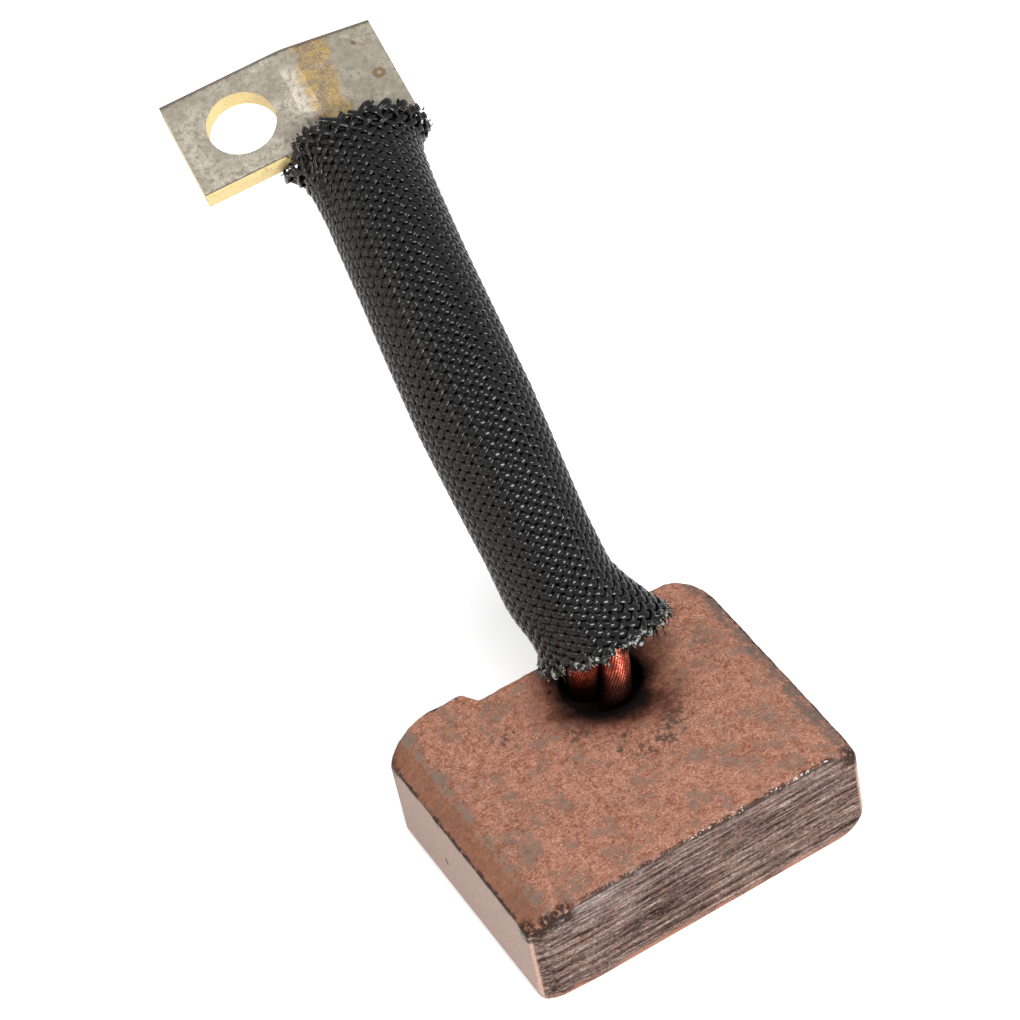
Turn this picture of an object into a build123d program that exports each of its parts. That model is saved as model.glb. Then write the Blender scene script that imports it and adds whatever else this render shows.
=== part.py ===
# Starter-motor carbon brush: a sintered copper-graphite block, a twisted copper shunt tamped into its top
# face, a black braided sleeve over the shunt, and a tinned brass terminal with one screw hole.
#
# Frame: the origin is the centre of the block's large lower face. X runs along the block's length, from
# left to right as seen from the running face. Y runs from the running face, at the front, to the spring
# seat, at the back. Z is up, through the face that the shunt leaves. Lengths are in millimetres, angles in
# degrees.
from build123d import *

import os
from math import copysign, cos, pi, radians, sin

os.makedirs("parts", exist_ok=True)

# Block
block_length = 25.0
block_depth = 20.0
block_height = 8.0
bevel_width = 2.3            # the long shallow bevels on the left and right upper edges
bevel_drop = 0.65
lower_left_radius = 0.9
lower_right_radius = 2.3
back_right_radius = 2.6
seat_from_left = 6.8         # from the block's left side to the spring seat's left wall
seat_length = 14.0
seat_depth = 1.2
lobe_nose_radius = 0.45      # where the lobes beside the seat turn into its walls
left_lobe_edge = (           # the worn back edge of the left lobe, from the block's side to the seat
    (-12.5, 8.15), (-11.9, 8.8), (-11.0, 9.3), (-9.5, 9.82), (-7.6, 10.0),
)
score_width = 0.34           # the fine scores along the running face
score_depth = 0.13
score_height_shares = (0.13, 0.22, 0.35, 0.43, 0.56, 0.66, 0.78, 0.89)

# Shunt socket and its tamped filling
socket_centre = (2.25, 5.2)
socket_radius = 2.75
socket_depth = 5.6
socket_mouth_chamfer = 0.12
filling_sunk = 1.3           # how far the tamped powder lies below the block's upper face

# Shunt: a rope of three bunched strands. Its middle line is straight runs joined by tangent arcs.
shunt_foot = (2.45, 5.3)     # off the socket's centre: the rope leans on the back of the socket
shunt_bend_above_face = 0.6  # to the corner that the foot's bend rounds off
shunt_elbow = (1.74, 17.25, 26.78)
shunt_end = (6.75, 41.9, 34.7)
foot_bend_radius = 6.0
elbow_bend_radius = 43.0
strand_count = 3
rope_radius = 2.4
strand_middle_share = 0.545  # of the rope's radius, to the helix that the strands' middles follow
strand_clearance = 0.04
lay_length = 17.0            # one full turn of the rope
lay_end_angle = 210.0        # of the first strand, where the pressing begins
pad_width = 5.2              # the rope's end, pressed flat under the terminal
pad_shift = 0.35             # of the pressed end's middle, towards the terminal's welded end
pad_thickness = 2.5
pad_margin = 0.7             # how far the pressed end reaches out from under the terminal
press_run = 4.0              # over which the round rope turns flat
press_places = (-1, 1, 0)    # the strands' places in the pressed end, in strand pitches from its middle
spread_share = 0.6           # of the press run, over which the strands move apart
settle_start_share = 0.45    # of the press run, from where they come down side by side
pressed_corner_share = 0.2   # 1 would leave a pressed strand oval, and 0 makes it square
corner_count = 12            # of a strand's outline
rings_per_turn = 12          # outlines that shape a strand, in one turn and in the press run
press_ring_count = 8

# Sleeve
sleeve_radius = 4.0
sleeve_wall = 0.5
sleeve_start = 8.0           # along the shunt, from the bottom of the socket
sleeve_length = 37.9
yarn_relief = 0.11           # how far the crossing yarns stand above the gaps between them
yarns_each_way = 22
course_count = 76
sleeve_slot_clearance = 0.12 # round the terminal's edge, in the sleeve's upper mouth
sleeve_face_clearance = 0.05 # over the block's upper face, where the lower mouth leans on it

# Terminal
terminal_width = 7.8
terminal_thickness = 1.5
terminal_flat = 8.3          # from the free end to the bend
terminal_weld_flat = 5.95    # from the bend to the other end
terminal_bend_angle = 13.0
terminal_bend_radius = 4.5   # inside the bend
terminal_roll = 4.2          # about the end of the shunt
terminal_skew = 5.2          # between the shunt's end and the terminal's short side
terminal_beyond_shunt = 1.0  # from the shunt's end to the terminal's edge
shunt_from_weld_end = 3.6    # from the welded end of the terminal to the shunt's middle line
screw_hole_radius = 2.4
screw_hole_inset = 4.4       # from the free end to the hole's centre

overrun = 1.0                # lets a cut run past the surface that it opens

# The sleeve's outer radius as a share of sleeve_radius, at shares of its length. It flares where its yarn
# ends are free: over the tamped foot and over the terminal's edge.
sleeve_profile_shares = (
    (0.0, 1.23), (0.03, 1.09), (0.07, 1.01), (0.12, 0.965), (0.22, 0.95), (0.33, 0.99),
    (0.46, 1.035), (0.60, 1.02), (0.72, 1.0), (0.88, 1.0), (0.94, 1.03), (0.975, 1.1), (1.0, 1.34),
)
# Its lower mouth is pushed sideways, as a share of sleeve_radius: at the rim, and where that has died out.
mouth_push_share = (0.28, -0.08)
mouth_push_end_share = 0.14


# The shunt's route

foot_x, foot_y = shunt_foot
socket_floor = block_height - socket_depth
route_points = [
    (foot_x, foot_y, socket_floor),
    (foot_x, foot_y, block_height + shunt_bend_above_face),
    shunt_elbow,
    shunt_end,
]
with BuildLine() as shunt_route:
    FilletPolyline(*route_points, radius=[foot_bend_radius, elbow_bend_radius])
route = shunt_route.wires()[0]
route_length = route.length
print("shunt route", round(route_length, 2), "mm, bends of", foot_bend_radius, "and", elbow_bend_radius)


def route_plane(distance):
    """The plane square to the route at a distance from the socket's floor, with its X kept level."""
    point = route.position_at(distance, PositionMode.LENGTH)
    heading = route.tangent_at(distance, PositionMode.LENGTH)
    return Plane(origin=point, x_dir=(1, 0, 0), z_dir=heading)


def blend(start, end, share):
    return start + (end - start) * share


def eased(share):
    """0 to 1 with no corner at either end."""
    clipped = min(max(share, 0), 1)
    return clipped * clipped * (3 - 2 * clipped)


def read_table(table, share):
    """The value at a share of the length, on straight lines between the table's rows."""
    for (low, low_value), (high, high_value) in zip(table, table[1:]):
        if share <= high:
            return blend(low_value, high_value, (share - low) / (high - low))
    return table[-1][1]


# The brush block

with BuildPart() as brush_block:
    with BuildSketch(Plane.XZ) as cross_section:
        half_length = block_length / 2
        with BuildLine():
            Polyline(
                (-half_length, 0),
                (half_length, 0),
                (half_length, block_height - bevel_drop),
                (half_length - bevel_width, block_height),
                (bevel_width - half_length, block_height),
                (-half_length, block_height - bevel_drop),
                close=True,
            )
        make_face()
        lower_corners = cross_section.vertices().group_by(Axis.Y)[0].sort_by(Axis.X)
        fillet(lower_corners[0], radius=lower_left_radius)
        lower_corners = cross_section.vertices().group_by(Axis.Y)[0].sort_by(Axis.X)
        fillet(lower_corners[-1], radius=lower_right_radius)
    extrude(amount=block_depth / 2, both=True)

    with BuildSketch() as outline:
        with BuildLine():
            Spline(*left_lobe_edge)
            Polyline(
                left_lobe_edge[-1],
                (half_length, block_depth / 2),
                (half_length, -block_depth / 2),
                (-half_length, -block_depth / 2),
                left_lobe_edge[0],
            )
        make_face()
        back_corners = outline.vertices().group_by(Axis.Y)[-1].sort_by(Axis.X)
        fillet(back_corners[-1], radius=back_right_radius)
        seat_middle = seat_from_left + seat_length / 2 - block_length / 2
        with Locations((seat_middle, block_depth / 2)):
            Rectangle(seat_length, 2 * seat_depth, mode=Mode.SUBTRACT)
        seat_walls = (seat_middle - seat_length / 2, seat_middle + seat_length / 2)
        nose_corners = outline.vertices().group_by(Axis.Y)[-1].filter_by(
            lambda vertex: min(abs(vertex.X - wall) for wall in seat_walls) < lobe_nose_radius
        )
        fillet(nose_corners, radius=lobe_nose_radius)
    extrude(amount=block_height, mode=Mode.INTERSECT)

    with Locations((*socket_centre, block_height)):
        Hole(radius=socket_radius, depth=socket_depth)
    socket_rim = brush_block.edges().filter_by(GeomType.CIRCLE).filter_by(
        lambda edge: abs(edge.radius - socket_radius) < socket_radius / 100
    )
    chamfer(socket_rim.sort_by(Axis.Z)[-1], length=socket_mouth_chamfer)

    with BuildSketch(Plane.YZ) as scores:
        for share in score_height_shares:
            height = share * (block_height - bevel_drop)
            with BuildLine():
                Polyline(
                    (-block_depth / 2 - overrun, height - score_width / 2),
                    (-block_depth / 2, height - score_width / 2),
                    (-block_depth / 2 + score_depth, height),
                    (-block_depth / 2, height + score_width / 2),
                    (-block_depth / 2 - overrun, height + score_width / 2),
                    close=True,
                )
            make_face()
    extrude(amount=block_length / 2 + overrun, both=True, mode=Mode.SUBTRACT)
brush_block.part.label = "brush_block"
export_step(brush_block.part, "parts/brush_block.step")


# The shunt's strands

helix_radius = rope_radius * strand_middle_share
strand_depth = rope_radius - helix_radius - strand_clearance
strand_spread = helix_radius * sin(pi / strand_count) - strand_clearance
pad_length = terminal_width - terminal_beyond_shunt + pad_margin
press_start = route_length - pad_length - press_run
strand_pitch = pad_width / strand_count


def squared(value):
    """Keeps the sign and pushes a share of a circle's reach out towards a square's."""
    return copysign(abs(value) ** pressed_corner_share, value)


def strand_outline(strand, distance):
    """A strand's outline: an ellipse turned with the lay, and an oblong in the pressed end.

    Its middle follows a helix. In the press run the middles first move apart and then come down side by
    side, so that the strands pass one another without meeting.
    """
    lay_left = max(press_start - distance, 0)
    turn = radians(lay_end_angle) - 2 * pi * lay_left / lay_length + 2 * pi * strand / strand_count
    pressed = (distance - press_start) / press_run
    spread = eased(pressed / spread_share)
    settled = eased((pressed - settle_start_share) / (1 - settle_start_share))
    squareness = eased(pressed)
    middle_x = blend(helix_radius * cos(turn), press_places[strand] * strand_pitch + pad_shift, spread)
    middle_y = blend(helix_radius * sin(turn), 0, settled)
    roll = radians(terminal_roll) * settled
    corners = []
    for step in range(corner_count):
        angle = 2 * pi * step / corner_count
        outward = strand_depth * cos(angle - turn)
        sideways = strand_spread * sin(angle - turn)
        round_x = outward * cos(turn) - sideways * sin(turn)
        round_y = outward * sin(turn) + sideways * cos(turn)
        flat_x = squared(cos(angle)) * (strand_pitch / 2 - strand_clearance)
        flat_y = squared(sin(angle)) * pad_thickness / 2
        x = middle_x + blend(round_x, flat_x, squareness)
        y = middle_y + blend(round_y, flat_y, squareness)
        corners.append((x * cos(roll) - y * sin(roll), x * sin(roll) + y * cos(roll)))
    return corners


lay_ring_count = round(press_start / lay_length * rings_per_turn)
ring_distances = [press_start * index / lay_ring_count for index in range(lay_ring_count)]
press_step = press_run / press_ring_count
ring_distances += [press_start + press_step * index for index in range(press_ring_count + 1)]
ring_distances.append(route_length)
strands = []
for strand in range(strand_count):
    with BuildPart() as shunt_strand:
        for distance in ring_distances:
            with BuildSketch(route_plane(distance)):
                with BuildLine():
                    Polyline(*strand_outline(strand, distance), close=True)
                make_face()
        loft(ruled=True)
    shunt_strand.part.label = f"shunt_strand_{strand + 1}"
    export_step(shunt_strand.part, f"parts/shunt_strand_{strand + 1}.step")
    strands.append(shunt_strand.part)


# The tamped filling

with BuildPart() as tamped_filling:
    with BuildSketch(Plane.XY.offset(socket_floor)):
        with Locations(socket_centre):
            Circle(socket_radius)
    extrude(amount=socket_depth - filling_sunk)
    add(strands, mode=Mode.SUBTRACT)
tamped_filling.part.label = "tamped_filling"
export_step(tamped_filling.part, "parts/tamped_filling.step")


# The terminal

end_frame = route_plane(route_length)
pad_location = Plane(origin=end_frame.origin, x_dir=end_frame.x_dir, z_dir=-end_frame.y_dir).location
weld_location = pad_location * Rotation(0, terminal_roll, 0) * Rotation(0, 0, terminal_skew)
# The profile lies across the terminal: X along it, Y up, with the underside of the welded flat on Y = 0.
profile_location = (
    weld_location * Pos(0, terminal_beyond_shunt, pad_thickness / 2) * Rotation(90, 0, 0)
)
bend_start = shunt_from_weld_end - terminal_weld_flat
bend_end_location = (
    profile_location
    * Pos(bend_start, -terminal_bend_radius, 0)
    * Rotation(0, 0, terminal_bend_angle)
    * Pos(0, terminal_bend_radius, 0)
)
hole_location = (
    bend_end_location
    * Pos(screw_hole_inset - terminal_flat, terminal_thickness, terminal_width / 2)
    * Rotation(-90, 0, 0)
)


def terminal_blank(grown):
    """The bent plate, grown all round by a clearance."""
    with BuildPart() as blank:
        with BuildSketch(Plane(profile_location).offset(-grown)):
            with BuildLine():
                inner_radius = terminal_bend_radius - grown
                outer_radius = terminal_bend_radius + terminal_thickness + grown
                angle = radians(terminal_bend_angle)
                far_x = shunt_from_weld_end + grown
                centre_y = -terminal_bend_radius
                flat = terminal_flat + grown
                low_end = (
                    bend_start - inner_radius * sin(angle) - flat * cos(angle),
                    centre_y + inner_radius * cos(angle) - flat * sin(angle),
                )
                high_end = (
                    bend_start - outer_radius * sin(angle) - flat * cos(angle),
                    centre_y + outer_radius * cos(angle) - flat * sin(angle),
                )
                Line((far_x, centre_y + inner_radius), (bend_start, centre_y + inner_radius))
                under_bend = CenterArc((bend_start, centre_y), inner_radius, 90, terminal_bend_angle)
                Line(under_bend @ 1, low_end)
                Line(low_end, high_end)
                upper_bend = CenterArc((bend_start, centre_y), outer_radius, 90, terminal_bend_angle)
                Line(high_end, upper_bend @ 1)
                Line(upper_bend @ 0, (far_x, centre_y + outer_radius))
                Line((far_x, centre_y + outer_radius), (far_x, centre_y + inner_radius))
            make_face()
        extrude(amount=terminal_width + 2 * grown)
    return blank.part


with BuildPart() as terminal:
    add(terminal_blank(0))
    with Locations(Plane(hole_location)):
        Hole(radius=screw_hole_radius, depth=terminal_thickness + overrun)
terminal.part.label = "terminal"
export_step(terminal.part, "parts/terminal.step")


# The braided sleeve

def sleeve_middle(share):
    """How far the sleeve's middle stands off the shunt's, in the route's plane."""
    fade = 1 - eased(share / mouth_push_end_share)
    return [push * sleeve_radius * fade for push in mouth_push_share]


def sleeve_ring(course):
    """One course of the braid: a yarn stands out at every other corner, and half a pitch on in the next."""
    share = course / course_count
    mean = read_table(sleeve_profile_shares, share) * sleeve_radius
    middle_x, middle_y = sleeve_middle(share)
    plane = route_plane(sleeve_start + share * sleeve_length)
    corners = []
    for step in range(2 * yarns_each_way):
        radius = mean - yarn_relief * ((step + course) % 2)
        angle = pi * step / yarns_each_way
        corner = (middle_x + radius * cos(angle), middle_y + radius * sin(angle), 0)
        corners.append(plane.from_local_coords(corner))
    return corners


def flat_face(*corners):
    return Face(Wire.make_polygon(corners))


# Each four corners of two courses are split between their low ones, so that every high one is the tip of a
# four-sided bump.
rings = [sleeve_ring(course) for course in range(course_count + 1)]
sleeve_faces = [flat_face(*rings[0]), flat_face(*rings[-1])]
for course in range(course_count):
    low_ring, high_ring = rings[course], rings[course + 1]
    for step in range(2 * yarns_each_way):
        a, b = low_ring[step - 1], low_ring[step]
        c, d = high_ring[step], high_ring[step - 1]
        if (step + course) % 2:
            sleeve_faces += [flat_face(a, b, d), flat_face(b, c, d)]
        else:
            sleeve_faces += [flat_face(a, b, c), flat_face(a, c, d)]

with BuildPart() as sleeve:
    add(Solid(Shell(sleeve_faces)))
    bore_shares = [row[0] for row in sleeve_profile_shares]
    run_out = overrun / sleeve_length
    bore_shares[0] -= run_out
    bore_shares[-1] += run_out
    for share in bore_shares:
        with BuildSketch(route_plane(sleeve_start + share * sleeve_length)):
            with Locations(tuple(sleeve_middle(share))):
                Circle(read_table(sleeve_profile_shares, share) * sleeve_radius - yarn_relief - sleeve_wall)
    loft(ruled=True, mode=Mode.SUBTRACT)
    add(terminal_blank(sleeve_slot_clearance), mode=Mode.SUBTRACT)
    under_the_face = (Align.CENTER, Align.CENTER, Align.MAX)
    with Locations((0, 0, block_height + sleeve_face_clearance)):
        Box(block_length, block_length, block_height, align=under_the_face, mode=Mode.SUBTRACT)
sleeve.part.label = "sleeve"
export_step(sleeve.part, "parts/sleeve.step")
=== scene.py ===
# %% [markdown]
# # A carbon brush from a starter motor
#
# The real thing is a block of pressed copper and graphite powder with a rope of fine copper wire tamped into
# its upper face. A black braided tube keeps the rope from shorting, and a small brass plate with a screw hole
# ends it. This file dresses the solid model: it keeps every size and adds grain, saw marks, wires and yarns.

import bpy
import numpy as np
from mathutils import Matrix, Vector


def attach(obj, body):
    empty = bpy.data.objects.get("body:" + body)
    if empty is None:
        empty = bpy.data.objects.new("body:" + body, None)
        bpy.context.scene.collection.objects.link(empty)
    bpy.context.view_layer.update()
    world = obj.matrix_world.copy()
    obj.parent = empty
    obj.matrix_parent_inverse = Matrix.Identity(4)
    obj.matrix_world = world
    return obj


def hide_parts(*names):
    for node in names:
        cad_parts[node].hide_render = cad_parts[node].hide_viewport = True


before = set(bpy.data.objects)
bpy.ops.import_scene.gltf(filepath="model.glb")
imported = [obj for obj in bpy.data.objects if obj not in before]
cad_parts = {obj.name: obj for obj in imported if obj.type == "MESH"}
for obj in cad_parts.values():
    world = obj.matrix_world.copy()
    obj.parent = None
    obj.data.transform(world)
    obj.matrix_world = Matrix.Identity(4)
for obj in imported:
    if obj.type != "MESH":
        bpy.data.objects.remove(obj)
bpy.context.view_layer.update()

# %% [markdown]
# ## Grids
#
# Every new piece is a grid: rows run along it and columns run across or round it. The helper below takes the
# whole grid of points at once, works out its four-sided faces with array arithmetic, and hands both to Blender.
# Points are given in millimetres, because the real part is drawn in millimetres.

# %% Turn a grid of points into a piece
millimetre = 0.001
rng = np.random.default_rng(7)


def grid_faces(rows, columns, closed):
    """Corner numbers of the quads between neighbouring rows and columns.

    When closed, the last column is joined to the first.
    """
    across = np.arange(columns if closed else columns - 1)
    low = np.arange(rows - 1)[:, None] * columns
    here, there = low + across, low + (across + 1) % columns
    return np.stack([here, there, there + columns, here + columns], -1).reshape(-1, 4)


def make_piece(name, points, faces, material, **attributes):
    """A mesh object from points in millimetres, with one number a point for each named attribute."""
    mesh = bpy.data.meshes.new(name)
    mesh.vertices.add(len(points))
    mesh.vertices.foreach_set("co", (points * millimetre).astype(np.float32).ravel())
    mesh.loops.add(faces.size)
    mesh.loops.foreach_set("vertex_index", faces.astype(np.int32).ravel())
    mesh.polygons.add(len(faces))
    mesh.polygons.foreach_set("loop_start", np.arange(0, faces.size, faces.shape[1], dtype=np.int32))
    mesh.polygons.foreach_set("use_smooth", np.ones(len(faces), dtype=bool))
    mesh.update(calc_edges=True)
    mesh.validate()
    for label, values in attributes.items():
        layer = mesh.attributes.new(label, "FLOAT", "POINT")
        layer.data.foreach_set("value", np.asarray(values, dtype=np.float32).ravel())
    mesh.materials.append(material)
    obj = bpy.data.objects.new(name, mesh)
    bpy.context.scene.collection.objects.link(obj)
    print(name, len(faces) * 2, "triangles")
    return obj


def smooth_noise(x, y, seed, size, octaves=3):
    """Sum of a few random sine waves of about the given wavelength, between -1 and 1."""
    waves = np.random.default_rng(seed)
    total, weight = np.zeros(np.broadcast(x, y).shape), 0.0
    for octave in range(octaves):
        for _ in range(5):
            heading = waves.uniform(0, 2 * np.pi)
            reach = 2 * np.pi * 2**octave / (size * waves.uniform(0.7, 1.4))
            shift = waves.uniform(0, 2 * np.pi)
            total = total + np.sin((x * np.cos(heading) + y * np.sin(heading)) * reach + shift) / 2**octave
            weight += 0.5 / 2**octave
    return np.clip(total / weight, -1, 1)


# %% [markdown]
# ## Writing a finish as a sum
#
# Blender's shader nodes are easier to read as arithmetic. The class below wraps one socket, so that
# `grain * 0.5 + 0.2` adds the two Math nodes by itself, and one method makes any other node.

# %% A socket that can be added and multiplied
class Shade:
    """One socket of a material's node tree, or the bare tree when no socket is given."""

    def __init__(self, tree, socket=None):
        self.tree, self.socket = tree, socket

    def node(self, kind, settings=None, inputs=None, output=0):
        """Adds a node, sets its settings first and then its sockets, and wraps the output asked for."""
        made = self.tree.nodes.new(kind)
        for key, value in (settings or {}).items():
            if key == "stops":
                ramp = made.color_ramp
                while len(ramp.elements) < len(value):
                    ramp.elements.new(1.0)
                for element, (position, colour) in zip(ramp.elements, value):
                    element.position, element.color = position, colour
            else:
                setattr(made, key, value)
        for key, value in (inputs or {}).items():
            if isinstance(value, Shade):
                self.tree.links.new(value.socket, made.inputs[key])
            else:
                made.inputs[key].default_value = value
        return Shade(self.tree, made.outputs[output])

    def math(self, operation, first, second=0.0):
        return self.node("ShaderNodeMath", {"operation": operation}, {0: first, 1: second})

    def __add__(self, other):
        return self.math("ADD", self, other)

    def __sub__(self, other):
        return self.math("SUBTRACT", self, other)

    def __mul__(self, other):
        return self.math("MULTIPLY", self, other)

    def __rsub__(self, other):
        return self.math("SUBTRACT", other, self)

    __radd__, __rmul__ = __add__, __mul__

    def between(self, low, high):
        """0 below low, 1 above high, and a smooth step from one to the other."""
        limits = {"Value": self, "From Min": low, "From Max": high}
        return self.node("ShaderNodeMapRange", {"interpolation_type": "SMOOTHSTEP"}, limits)

    def tint(self, low_colour, high_colour):
        """Low colour where this is 0 and high colour where it is 1."""
        colours = {0: self, 6: low_colour, 7: high_colour}
        return self.node("ShaderNodeMix", {"data_type": "RGBA"}, colours, output=2)


# %% Start a material and its patterns
def start_material(name, **constants):
    """A new material, its shader node with the given constants, and its place in millimetres."""
    material = bpy.data.materials.new(name)
    material.use_nodes = True
    tree = material.node_tree
    shader = tree.nodes["Principled BSDF"]
    for key, value in constants.items():
        shader.inputs[key.replace("_", " ")].default_value = value
    place = Shade(tree).node("ShaderNodeTexCoord", output="Object")
    place = place.node("ShaderNodeVectorMath", {"operation": "SCALE"}, {0: place, "Scale": 1 / millimetre})
    return material, shader, place


def stretched(place, x, y, z):
    """The place with each axis multiplied by a number, to draw a pattern out along the others."""
    return place.node("ShaderNodeVectorMath", {"operation": "MULTIPLY"}, {0: place, 1: (x, y, z)})


def noise(place, grains_per_mm, detail=3.0, roughness=0.6):
    inputs = {"Vector": place, "Scale": grains_per_mm, "Detail": detail, "Roughness": roughness}
    return place.node("ShaderNodeTexNoise", {"normalize": True}, inputs)


def attribute(place, name):
    return place.node("ShaderNodeAttribute", {"attribute_name": name}, output="Fac")


# %% Join the parts of a finish
def feed(shader, **sources):
    """Joins each source to the shader's input of that name."""
    for key, value in sources.items():
        value.tree.links.new(value.socket, shader.inputs[key.replace("_", " ")])


def raised(height, distance):
    """The surface's normal, tipped by a height that is 0 to 1 over a distance in millimetres."""
    inputs = {"Height": height, "Distance": distance * millimetre, "Strength": 1.0}
    return height.node("ShaderNodeBump", {}, inputs)


# %% [markdown]
# ## The shunt's middle line
#
# The rope stands up in its socket, leans back, and bends over once more before the terminal. In the solid
# model that line is three straight runs joined by two arcs. The same line is worked out here, because the
# wires and the braid both follow it.

# %% Work out the middle line
block_height = 8.0
shunt_corners = np.array([(2.45, 5.3, 2.4), (2.45, 5.3, 8.6), (1.74, 17.25, 26.78), (6.75, 41.9, 34.7)])
bend_radii = (6.0, 43.0)


def rounded_line(corners, radii, steps=400):
    """Points along straight runs whose inner corners are rounded by arcs that touch both runs."""
    points = [corners[:1]]
    for before, corner, after, radius in zip(corners, corners[1:], corners[2:], radii):
        back, on = before - corner, after - corner
        back, on = back / np.linalg.norm(back), on / np.linalg.norm(on)
        half_turn = (np.pi - np.arccos(back @ on)) / 2
        centre = corner + (back + on) / np.linalg.norm(back + on) * radius / np.cos(half_turn)
        first = (corner + back * radius * np.tan(half_turn) - centre) / radius
        last = (corner + on * radius * np.tan(half_turn) - centre) / radius
        share = np.linspace(0, 1, steps)[:, None]
        turn = 2 * half_turn
        swung = (np.sin((1 - share) * turn) * first + np.sin(share * turn) * last) / np.sin(turn)
        points.append(centre + radius * swung)
    points.append(corners[-1:])
    return np.concatenate(points)


line_points = rounded_line(shunt_corners, bend_radii)
line_lengths = np.concatenate([[0], np.cumsum(np.linalg.norm(np.diff(line_points, axis=0), axis=1))])
shunt_length = line_lengths[-1]


def along_line(distance):
    """Point, sideways axis and the axis that points down and back from the line, at each distance."""
    def at(length):
        return np.stack([np.interp(length, line_lengths, line_points[:, axis]) for axis in range(3)], -1)

    heading = at(distance + 0.05) - at(distance - 0.05)
    heading /= np.linalg.norm(heading, axis=-1, keepdims=True)
    sideways = np.array([1.0, 0, 0]) - heading * heading[..., :1]
    sideways /= np.linalg.norm(sideways, axis=-1, keepdims=True)
    beyond = np.clip(distance - shunt_length, 0, None)[..., None] + np.clip(distance, None, 0)[..., None]
    return at(distance) + heading * beyond, sideways, np.cross(heading, sideways)


print("shunt length", round(shunt_length, 2), "mm")

# %% [markdown]
# ## The block's finish
#
# Pressed copper and graphite is salmon brown with a fine grain of black graphite and bright copper. Handling
# leaves grey-olive blotches. The running face is sawn: it is darker, and long grey and brown lines cross it.
# Which face a point lies on is stored with the mesh, so the finish reads plain numbers instead of guessing.

# %% Mix the copper and graphite of the upper face
block_finish, shader, place = start_material("copper graphite", Specular_IOR_Level=0.12)
running, upper = attribute(place, "running"), attribute(place, "upper")
past_left, past_right = attribute(place, "past_left"), attribute(place, "past_right")
to_edge, stain, soiled = attribute(place, "to_edge"), attribute(place, "stain"), attribute(place, "soiled")
front, chipped = attribute(place, "front"), attribute(place, "chipped")

grain = noise(place, 2.2, 7.0, 0.95)
fine = noise(place, 6.5, 3.0, 0.8)
crumbs = noise(place, 1.6, 9.0, 0.85).between(0.38, 0.62)
blotch = noise(place, 0.55, 7.0, 0.72)
cloud = noise(place, 0.16, 2.0)
colour = grain.between(0.40, 0.60).tint((0.25, 0.085, 0.048, 1), (0.60, 0.30, 0.205, 1))
colour = (fine.between(0.57, 0.66) * 0.7).tint(colour, (0.10, 0.055, 0.040, 1))
colour = ((1 - fine.between(0.34, 0.42)) * 0.8).tint(colour, (0.80, 0.52, 0.40, 1))
greyed = (blotch.between(0.40, 0.66) + cloud * 0.3 + crumbs * 0.9).between(1.10, 1.45)
colour = (greyed * 0.7).tint(colour, (0.21, 0.155, 0.125, 1))
sooty = (soiled * 0.8 + crumbs - 1.0).between(0.0, 0.3)
colour = (sooty * 0.85).tint(colour, (0.075, 0.052, 0.042, 1))
# Black round the socket and down its walls: a real burn stain, deepened by painted shade where the sleeve and the
# rope shade it. A dark red-brown fade rings the black.
soot_and_shade = stain + noise(place, 0.8, 5.0) * 0.7 + (grain + fine) * 0.7 - 1.15
colour = ((1 - soot_and_shade.between(1.0, 2.4)) * 0.8).tint(colour, (0.10, 0.026, 0.013, 1))
colour = (1 - soot_and_shade.between(0.75, 1.6)).tint(colour, (0.001, 0.0005, 0.0004, 1))
print("upper face takes", len(block_finish.node_tree.nodes), "nodes")

# %% Colour the bevels and the worn edges
wander = noise(place, 0.7, 5.0) * 1.2 - 0.6
left_line = past_left + wander
left_strip = left_line.between(0.7, 0.95)
colour = (left_strip * 0.65).tint(colour, (0.24, 0.105, 0.058, 1))
left_grey = left_line.between(0.15, 0.35) * (1 - left_strip) * (grain + blotch).between(0.86, 1.06)
colour = (left_grey * 0.75).tint(colour, (0.23, 0.18, 0.145, 1))
right_line = (past_right + wander * 0.8).between(0.9, 1.5)
right_grey = right_line * (crumbs + blotch).between(0.65, 1.0)
upper_colour = (right_grey * 0.85).tint(colour, (0.15, 0.115, 0.098, 1))
print("with the bevels", len(block_finish.node_tree.nodes), "nodes")

# %% Colour the sides and the sawn face
rubbed, rim = attribute(place, "rubbed"), attribute(place, "rim")
side_grain = noise(stretched(place, 1.0, 0.4, 1.0), 6.0, 4.0)
side_colour = side_grain.between(0.3, 0.7).tint((0.46, 0.29, 0.225, 1), (0.60, 0.41, 0.33, 1))
side_colour = attribute(place, "nick").between(0.3, 0.6).tint(side_colour, (0.16, 0.06, 0.04, 1))

saw_broad = noise(stretched(place, 0.035, 1.0, 1.0), 2.6, 4.0, 0.75)
saw_fine = noise(stretched(place, 0.08, 1.0, 1.0), 6.0, 4.0, 0.8)
saw_grit = noise(stretched(place, 0.7, 1.0, 1.0), 6.0, 4.0, 0.85)
saw = saw_broad * 0.34 + saw_fine * 0.38 + saw_grit * 0.36 - 0.04
saw = saw + (cloud - 0.5) * 0.08 + (blotch - 0.5) * 0.10 + rubbed * 0.015 - attribute(place, "scored") * 0.05
saw_colour = saw.node("ShaderNodeValToRGB", {"stops": [
    (0.41, (0.012, 0.006, 0.005, 1)), (0.46, (0.060, 0.033, 0.025, 1)), (0.51, (0.165, 0.105, 0.085, 1)),
    (0.56, (0.33, 0.235, 0.20, 1)), (0.63, (0.75, 0.62, 0.56, 1)),
]}, {0: saw}, output="Color")
pinkish = noise(stretched(place, 0.2, 1.0, 1.0), 2.6, 4.0).between(0.50, 0.64)
saw_colour = (pinkish * saw.between(0.44, 0.52) * 0.5).tint(saw_colour, (0.31, 0.16, 0.125, 1))
saw_colour = (rubbed * saw.between(0.45, 0.56) * 0.35).tint(saw_colour, (0.20, 0.20, 0.20, 1))
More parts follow.
